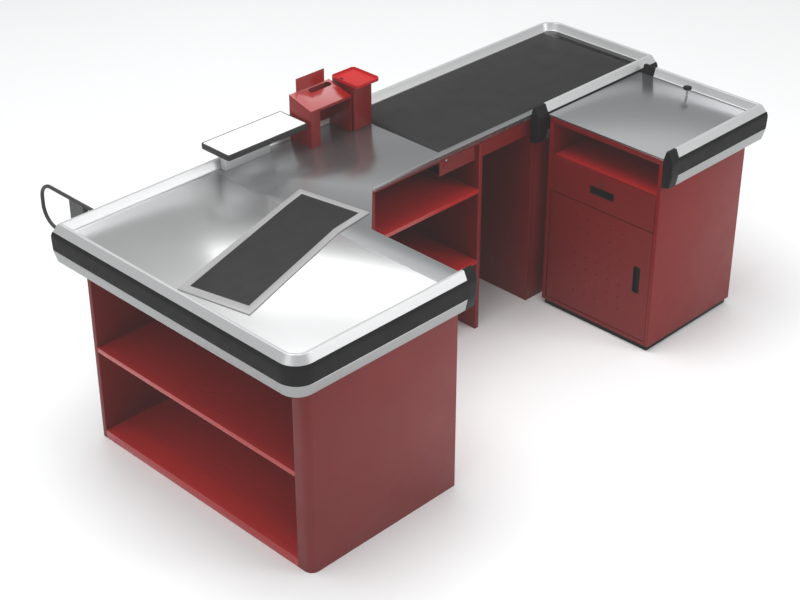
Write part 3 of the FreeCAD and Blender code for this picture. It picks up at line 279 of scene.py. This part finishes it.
# Painted shade: a darker copy of the satin aluminium for the rails' downward-facing leg faces, as if in
# shadow under the rail.
LEG_ALUMINIUM_PAINTED_SHADE = brushed(
    "SatinAluminiumLegPaintedShade",
    (0.33, 0.333, 0.336),
    (0.38, 0.383, 0.386),
    GRAIN_EVEN,
    rough=(0.36, 0.44),
    metallic=0.5,
)
GLOSS_RED = painted(
    "RedPowderCoatGloss",
    (0.26, 0.004, 0.004),
    (0.30, 0.006, 0.006),
    rough=(0.20, 0.26),
    peel=0.04,
    coat=0.45,
)
# Painted light: a much brighter copy of the red powder coat for the terminal tray, as if lit from above.
TRAY_RED_PAINTED_LIGHT = painted(
    "RedPowderCoatTrayPaintedLight", (0.46, 0.007, 0.007), (0.50, 0.010, 0.010), rough=(0.34, 0.42), peel=0.04
)
# Painted light: a much brighter copy of the red laminate for the shelves and back panels inside the open
# compartments, standing in for the light that falls into them.
RED_INNER_PAINTED_LIGHT = painted(
    "RedLaminateInsidePaintedLight",
    (0.40, 0.010, 0.010),
    (0.46, 0.014, 0.014),
    rough=(0.26, 0.34),
    peel=0.05,
    specular=0.7,
)
SIDE_RED = painted(
    "RedLaminateSide",
    (0.185, 0.003, 0.003),
    (0.215, 0.005, 0.005),
    rough=(0.34, 0.46),
    peel=0.05,
    specular=0.20,
)


# ---------------------------------------------------------------- making pieces
FLAT_BEND = math.radians(0.5)
SHARP_BEND = math.radians(40)
CAD_SMOOTH = 30.0
SWEPT_SMOOTH = 28.0


def linked(name, data):
    """A new object of the scene that holds the data."""
    obj = bpy.data.objects.new(name, data)
    bpy.context.scene.collection.objects.link(obj)
    return obj


def finish_piece(obj, body, material):
    if not obj.data.materials:
        obj.data.materials.append(material)
    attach(obj, body)
    return obj


def recolour(obj, material, picked):
    """Gives a second material to the faces that the test picks."""
    obj.data.materials.append(material)
    for face in obj.data.polygons:
        if picked(face):
            face.material_index = 1


def shade(obj, angle):
    """Smooth shading that keeps edges sharper than the angle."""
    for face in obj.data.polygons:
        face.use_smooth = True
    limit = math.radians(angle)
    mesh = bmesh.new()
    mesh.from_mesh(obj.data)
    for edge in mesh.edges:
        edge.smooth = len(edge.link_faces) == 2 and edge.calc_face_angle(0) < limit
    mesh.to_mesh(obj.data)
    mesh.free()


def refined(node, width, material=None):
    """The CAD piece again, with its sharp edges broken as they are on the real thing."""
    source = frame["nodes"][node]
    mesh = bmesh.new()
    mesh.from_mesh(source.data)
    bmesh.ops.remove_doubles(mesh, verts=mesh.verts, dist=1e-6)
    bmesh.ops.dissolve_limit(mesh, angle_limit=FLAT_BEND, verts=mesh.verts, edges=mesh.edges)
    sharp = [e for e in mesh.edges if len(e.link_faces) == 2 and e.calc_face_angle(0) > SHARP_BEND]
    bmesh.ops.bevel(
        mesh,
        geom=sharp,
        offset=width,
        segments=2,
        profile=0.5,
        affect="EDGES",
        clamp_overlap=True,
    )
    data = bpy.data.meshes.new(node + "_look")
    mesh.to_mesh(data)
    mesh.free()
    obj = linked(node + "_look", data)
    shade(obj, CAD_SMOOTH)
    slot = SLOT_OF[node]
    finish_piece(obj, BODY_OF[node], material or LOOKS[slot])
    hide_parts(node)
    return obj


def mesh_piece(name, points, faces, slot):
    """A piece of the counter itself, from points and faces."""
    data = bpy.data.meshes.new(name)
    data.from_pydata(points, [], faces)
    obj = linked(name, data)
    mesh = bmesh.new()
    mesh.from_mesh(data)
    bmesh.ops.recalc_face_normals(mesh, faces=mesh.faces)
    mesh.to_mesh(data)
    mesh.free()
    shade(obj, SWEPT_SMOOTH)
    return finish_piece(obj, "counter", LOOKS[slot])


# ---------------------------------------------------------------- sections of the edge protection
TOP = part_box("packing_plate")[1].z
REACH = 0.0418


def arc(centre, radius, first, last, steps):
    """Points of a round corner in a section, angles in degrees from straight outward."""
    spots = []
    for step in range(steps + 1):
        turn = math.radians(first + (last - first) * step / steps)
        spots.append((centre[0] + radius * math.cos(turn), centre[1] + radius * math.sin(turn)))
    return spots


def placed(points):
    """Section points in metres, from millimetres outward from the edge and up from the top."""
    return [(reach / 1000, TOP + height / 1000) for reach, height in points]


def rail_section():
    """The aluminium extrusion: rounded foot bead, sloped faces, ridge and lower leg."""
    points = [(0.0, -125.0), (0.0, 0.0), (-0.6, 0.2), (-0.6, 2.2), (0.3, 3.2)]
    points += [(1.4, 3.6), (2.3, 4.6)]
    points += arc((13.4, 32.6), 2.4, 160, 95, 4)
    points += arc((21.2, 32.6), 2.4, 85, 22, 4)
    points += [(37.4, 4.6), (38.0, 3.5), (37.6, 3.2), (33.0, 3.2), (33.0, -71.0)]
    points += [(41.2, -71.0), (41.8, -71.8)]
    points += [(32.9, -114.6), (31.9, -116.6), (30.0, -117.6)]
    return placed(points)


def rubber_section():
    """The rubber strip: a rounded bulge with one groove under its top edge."""
    points = [(33.0, -70.9), (33.0, 3.1), (37.2, 3.1), (38.6, 2.6), (39.6, 1.2)]
    points += [(40.7, -2.0), (41.4, -4.2), (41.0, -4.9), (41.0, -5.7), (41.8, -6.2)]
    points += [(42.7, -9.0), (43.3, -13.0), (43.5, -18.0), (43.4, -26.0), (43.0, -40.0)]
    points += [(42.6, -52.0), (42.1, -64.0), (41.8, -69.6), (41.0, -70.9)]
    return placed(points)


def cap_section():
    """Outline of the black end cap, which stands a little proud of the rail all round."""
    points = [(0.0, -125.0), (0.0, 0.0), (2.0, 3.0)]
    points += arc((13.0, 32.4), 2.6, 160, 95, 4)
    points += arc((21.6, 32.4), 2.6, 85, 22, 4)
    points += [(39.0, 1.5), (42.6, -8.0), (43.5, -17.0), (43.4, -28.0), (42.4, -64.0), (41.8, -72.0)]
    points += [(33.0, -115.0), (31.0, -118.0)]
    return placed(points)


# ---------------------------------------------------------------- frames that carry a section
def swept(name, section, frames, slot, replaces):
    """A section carried through a row of frames; each frame gives the place of a section point."""
    count = len(section)
    points = [place(reach, height) for place in frames for reach, height in section]
    faces = []
    for ring in range(len(frames) - 1):
        for index in range(count):
            after = (index + 1) % count
            faces.append(
                (
                    ring * count + index,
                    ring * count + after,
                    (ring + 1) * count + after,
                    (ring + 1) * count + index,
                )
            )
    faces.append(tuple(range(count)))
    faces.append(tuple(range(len(points) - count, len(points))))
    obj = mesh_piece(name, points, faces, slot)
    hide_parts(*replaces)
    return obj


def straight(edge, along, outward, start, end, start_slope, end_slope):
    """The two end frames of a straight length; a slope of 1 or -1 cuts the end to a mitre."""

    def frame_at(place, slope):
        def point(reach, height):
            return edge + along * (place + slope * reach) + outward * reach + UP * height

        return point

    return [frame_at(start, start_slope), frame_at(end, end_slope)]


def quarter(centre, radius, first_angle, steps=14):
    """The frames of a rounded corner."""
    frames = []
    for step in range(steps + 1):
        turn = math.radians(first_angle + 90 * step / steps)
        away = Vector((math.cos(turn), math.sin(turn), 0))

        def point(reach, height, away=away):
            return centre + away * (radius + reach) + UP * height

        frames.append(point)
    return frames


NOSE = 0.008
NOSE_DRAW = 0.10
NOSE_TURNS = (0.5, 1.0, 1.57)
CAP_SPINE = 0.020


def cap_frames(edge, along, outward, start, end, middle_z):
    """The frames of an end cap, drawn in a little over its last few millimetres."""
    way = 1 if end > start else -1
    length = abs(end - start)
    steps = [(0.0, 1.0), (length - NOSE, 1.0)]
    for turn in NOSE_TURNS:
        steps.append((length - NOSE + NOSE * math.sin(turn), 1 - NOSE_DRAW * (1 - math.cos(turn))))
    frames = []
    for travel, shrink in steps:

        def point(reach, height, travel=travel, shrink=shrink):
            inner = CAP_SPINE + (reach - CAP_SPINE) * (shrink if reach > CAP_SPINE else 1.0)
            level = middle_z + (height - middle_z) * (1 - (1 - shrink) * 0.5)
            return edge + along * (start + way * travel) + outward * inner + UP * level

        frames.append(point)
    return frames


# ---------------------------------------------------------------- bumper rails
near_low, near_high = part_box("rail_wing_near")
left_low, left_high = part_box("rail_left")
far_low, far_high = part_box("rail_far")
right_low, right_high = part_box("rail_right")
main_low, main_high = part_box("rail_main_near")
side_low, side_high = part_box("side_rail_near")
outer_low, outer_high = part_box("side_rail_right")
left_edge, right_edge = left_high.x, right_low.x
near_edge, far_edge, main_edge = near_high.y, far_low.y, main_high.y
side_edge, side_right = side_high.y, outer_low.x
near_round = near_low.x - left_edge
far_round = right_edge - far_high.x

NEAR_LINE = Vector((0, near_edge, 0))
LEFT_LINE = Vector((left_edge, 0, 0))
FAR_LINE = Vector((0, far_edge, 0))
RIGHT_LINE = Vector((right_edge, 0, 0))
MAIN_LINE = Vector((0, main_edge, 0))
SIDE_LINE = Vector((0, side_edge, 0))
OUTER_LINE = Vector((side_right, 0, 0))

RUNS = {
    "rail_wing_near": (NEAR_LINE, EAST, -NORTH, near_low.x, near_high.x, 0, 0),
    "rail_left": (LEFT_LINE, NORTH, -EAST, left_low.y, left_high.y - REACH, 0, 1),
    "rail_far": (FAR_LINE, EAST, NORTH, left_edge, far_high.x, -1, 0),
    "rail_right": (RIGHT_LINE, NORTH, EAST, main_edge, right_high.y, -1, 0),
    "rail_main_near": (MAIN_LINE, EAST, -NORTH, main_low.x, right_edge, 0, 1),
    "side_rail_near": (SIDE_LINE, EAST, -NORTH, side_low.x, side_right, 0, 1),
    "side_rail_right": (OUTER_LINE, NORTH, EAST, side_edge, outer_high.y, -1, 0),
}
TURNS = {
    "near_left": (Vector((left_edge + near_round, near_edge + near_round, 0)), near_round, 180),
    "far_right": (Vector((right_edge - far_round, far_edge - far_round, 0)), far_round, 0),
}
CAPS = {
    "wing_cap": (NEAR_LINE, EAST, -NORTH, near_high.x, near_high.x + 0.045),
    "main_cap": (MAIN_LINE, EAST, -NORTH, main_low.x, main_low.x - 0.060),
    "side_cap": (SIDE_LINE, EAST, -NORTH, side_low.x, side_low.x - 0.046),
    "side_far_cap": (OUTER_LINE, NORTH, EAST, outer_high.y, outer_high.y + 0.060),
}
LEG_TOP = TOP - 0.06


# Picks the rails' downward-facing leg faces, which get the painted shade.
def gets_painted_leg_shade(face):
    return face.normal.z < -0.05 and face.center.z < LEG_TOP


RAIL = rail_section()
RUBBER = rubber_section()
CAP = cap_section()
CAP_MIDDLE = sum(height for reach, height in CAP) / len(CAP)
rails = []
for label, place in RUNS.items():
    frames = straight(*place)
    owner = "rubber_side" if label.startswith("side") else "rubber_counter"
    rails.append(swept(label + "_look", RAIL, frames, "rail_aluminium", [label]))
    swept(label + "_rubber", RUBBER, frames, "bumper_rubber", [owner])
for label, place in TURNS.items():
    frames = quarter(*place)
    rails.append(swept(label + "_corner", RAIL, frames, "rail_aluminium", ["rail_corners"]))
    swept(label + "_corner_rubber", RUBBER, frames, "bumper_rubber", ["rubber_counter"])
# The downward-facing leg faces of every rail get the darker copy of the aluminium: painted shade.
for rail in rails:
    recolour(rail, LEG_ALUMINIUM_PAINTED_SHADE, gets_painted_leg_shade)
for label, place in CAPS.items():
    swept(label, CAP, cap_frames(*place, CAP_MIDDLE), "black_plastic", ["end_caps"])

# ---------------------------------------------------------------- boards, sheet metal and the rest
DONE = set(RUNS) | {"rail_corners", "rubber_counter", "rubber_side", "end_caps"}
KEPT = ("door_panel", "drawer_front")
EDGE_WIDTH = 0.0008
EDGE_WIDTHS = {
    "worktop_core": 0.0005,
    "service_plate": 0.0006,
    "packing_plate": 0.0004,
    "belt": 0.0006,
    "slide_frame": 0.0012,
    "slide_mat": 0.0006,
    "conveyor_trough": 0.0005,
    "belt_bed": 0.0005,
    "gate_loop": 0.0004,
    "drive_roller": 0.0006,
    "idler_roller": 0.0006,
    "side_worktop": 0.0015,
    "customer_shelf": 0.002,
    "console_body": 0.0007,
    "console_panel": 0.0009,
    "terminal_column": 0.0015,
    "terminal_tray": 0.0010,
}
MATERIALS = {
    # The packing plate gets the brighter steel: painted sheen.
    "packing_plate": PACKING_STEEL_PAINTED_SHEEN,
    "slide_frame": FRAME_STEEL,
    "shelf_bracket": BRACKET_STEEL,
    "console_panel": GLOSS_RED,
    # The terminal tray gets the brighter red: painted light.
    "terminal_tray": TRAY_RED_PAINTED_LIGHT,
    "conveyor_trough": LOOKS["red_laminate"],
    "side_panels": SIDE_RED,
    "drawer_lock": LOOKS["dark_metal"],
    # The shelves and back panels inside the compartments get the brighter red: painted light.
    "wing_shelves": RED_INNER_PAINTED_LIGHT,
    "wing_back_panel": RED_INNER_PAINTED_LIGHT,
    "cashier_shelves": RED_INNER_PAINTED_LIGHT,
    "side_niche_shelf": RED_INNER_PAINTED_LIGHT,
    "side_back_panel": RED_INNER_PAINTED_LIGHT,
}
PIECES = {}
for node in frame["nodes"]:
    if node in KEPT:
        data = frame["nodes"][node].data
        data.materials.clear()
        data.materials.append(LOOKS[SLOT_OF[node]])
    elif node not in DONE:
        PIECES[node] = refined(node, EDGE_WIDTHS.get(node, EDGE_WIDTH), MATERIALS.get(node))


def two_tone_trough():
    """The conveyor's tray is dark where it shows beside the belt, and red outside."""
    lip = TOP - 0.012
    trough = PIECES["conveyor_trough"]
    recolour(trough, LOOKS["dark_metal"], lambda face: face.normal.z > 0.4 or face.center.z > lip)


def bare_button_stem():
    """The button's stem is bare steel under its black head."""
    head_thickness = 0.0085
    head_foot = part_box("button_head")[1].z - head_thickness
    recolour(PIECES["button_head"], LOOKS["steel"], lambda face: face.center.z < head_foot)


def tray_grommet():
    """A small cable grommet in the terminal tray's floor."""
    floor_thickness = 0.004
    height = 0.0022
    tray_low, tray_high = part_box("terminal_tray")
    centre = (tray_low.x + 0.0190, tray_high.y - 0.040, tray_low.z + floor_thickness + height / 2)
    mesh = bmesh.new()
    bmesh.ops.create_cone(
        mesh, cap_ends=True, segments=40, radius1=0.0095, radius2=0.0085, depth=height
    )
    bmesh.ops.translate(mesh, verts=mesh.verts, vec=centre)
    data = bpy.data.meshes.new("tray_grommet")
    mesh.to_mesh(data)
    mesh.free()
    grommet = linked("tray_grommet", data)
    shade(grommet, CAD_SMOOTH)
    finish_piece(grommet, "counter", LOOKS["black_plastic"])


def banded_shelf():
    """The customer shelf is white on its faces and black on its edge band."""
    shelf = PIECES["customer_shelf"]
    recolour(shelf, EDGE_BAND, lambda face: abs(face.normal.z) < 0.985)
    mesh = bmesh.new()
    mesh.from_mesh(shelf.data)
    level = (face for face in mesh.faces if face.normal.z > 0.99)
    top = max(level, key=lambda face: face.calc_area())
    rim = bmesh.ops.inset_region(mesh, faces=[top], thickness=0.0045)
    for face in rim["faces"]:
        face.material_index = 1
    mesh.to_mesh(shelf.data)
    mesh.free()


two_tone_trough()
bare_button_stem()
tray_grommet()
banded_shelf()


# ---------------------------------------------------------------- stage, light and camera
def studio_floor():
    half = 30
    corners = [(-half, -half, 0), (half, -half, 0), (half, half, 0), (-half, half, 0)]
    data = bpy.data.meshes.new("floor")
    data.from_pydata(corners, [], [(0, 1, 2, 3)])
    floor = linked("floor", data)
    look = Shader("StudioFloor")
    clouds = look.noise(0.7, detail=2.0)
    look.colour(look.ramp(clouds, (0.90, 0.915, 0.92), (0.92, 0.935, 0.94)))
    look.put(Roughness=0.34, Specular_IOR_Level=0.32)
    data.materials.append(look.material)


def studio_sky():
    """A plain sky that brightens from below the horizon to the zenith."""
    world = bpy.data.worlds.new("Studio")
    bpy.context.scene.world = world
    world.use_nodes = True
    tree = world.node_tree
    tree.nodes.clear()
    out = tree.nodes.new("ShaderNodeOutputWorld")
    sky = tree.nodes.new("ShaderNodeBackground")
    coords = tree.nodes.new("ShaderNodeTexCoord")
    split = tree.nodes.new("ShaderNodeSeparateXYZ")
    gradient = tree.nodes.new("ShaderNodeValToRGB")
    tree.links.new(coords.outputs["Generated"], split.inputs["Vector"])
    tree.links.new(split.outputs["Z"], gradient.inputs["Fac"])
    tree.links.new(gradient.outputs["Color"], sky.inputs["Color"])
    tree.links.new(sky.outputs["Background"], out.inputs["Surface"])
    ends = gradient.color_ramp.elements
    ends[0].position = 0.0
    ends[0].color = (*grey(0.30), 1)
    ends[1].position = 1.0
    ends[1].color = (*grey(1.0), 1)
    for place, level in ((0.40, 0.38), (0.52, 0.48), (0.68, 0.95)):
        stop = gradient.color_ramp.elements.new(place)
        stop.color = (*grey(level), 1)
    sky.inputs["Strength"].default_value = 1.0


def lamp(name, place, aim, size, power):
    data = bpy.data.lights.new(name, "AREA")
    data.shape = "DISK"
    data.size = size
    data.energy = power
    obj = linked(name, data)
    obj.location = place
    obj.rotation_euler = (Vector(aim) - Vector(place)).to_track_quat("-Z", "Y").to_euler()
    return obj


def reflector(name, place, aim, wide, deep, power, receiver):
    """A panel that only shows in the gloss of the named piece."""
    obj = lamp(name, place, aim, wide, power)
    obj.data.shape = "RECTANGLE"
    obj.data.size_y = deep
    obj.visible_diffuse = False
    obj.visible_camera = False
    shown = bpy.data.collections.new(name + "_receivers")
    shown.objects.link(PIECES[receiver])
    obj.light_linking.receiver_collection = shown


def studio_camera():
    data = bpy.data.cameras.new("camera")
    data.lens = 77.96
    data.sensor_width = 36.0
    data.clip_end = 200.0
    camera = linked("camera", data)
    camera.location = (-4.2374, -4.11205, 3.8058)
    facing = Vector((0.6075, 0.6013, -0.5189))
    camera.rotation_euler = facing.to_track_quat("-Z", "Y").to_euler()
    bpy.context.scene.camera = camera


def printed_tone():
    """The plain view with its blacks lifted a little, as in a printed catalogue."""
    lift = 0.022
    settings = bpy.context.scene.view_settings
    settings.view_transform = "Standard"
    settings.look = "None"
    settings.exposure = 0.0
    settings.use_curve_mapping = True
    settings.curve_mapping.black_level = grey(-lift)
    settings.curve_mapping.update()


studio_floor()
studio_sky()
lamp("key", (3.0, -6.0, 3.5), (0, 0, 0.5), size=3.0, power=105.0)
lamp("front", (-6.5, -1.0, 2.6), (0, 0, 0.4), size=3.0, power=35.0)
lamp("top", (-1.0, 0.5, 6.0), (0, 0, 0.5), size=4.0, power=190.0)
reflector("bay_panel", (0.40, 0.62, 1.95), (-0.86, -0.60, 0.87), 1.7, 0.62, 4.9, "packing_plate")
reflector("console_panel_light", (1.45, 1.10, 2.95), (-0.14, 0.37, 1.04), 2.6, 2.6, 44.0, "console_panel")
studio_camera()
printed_tone()
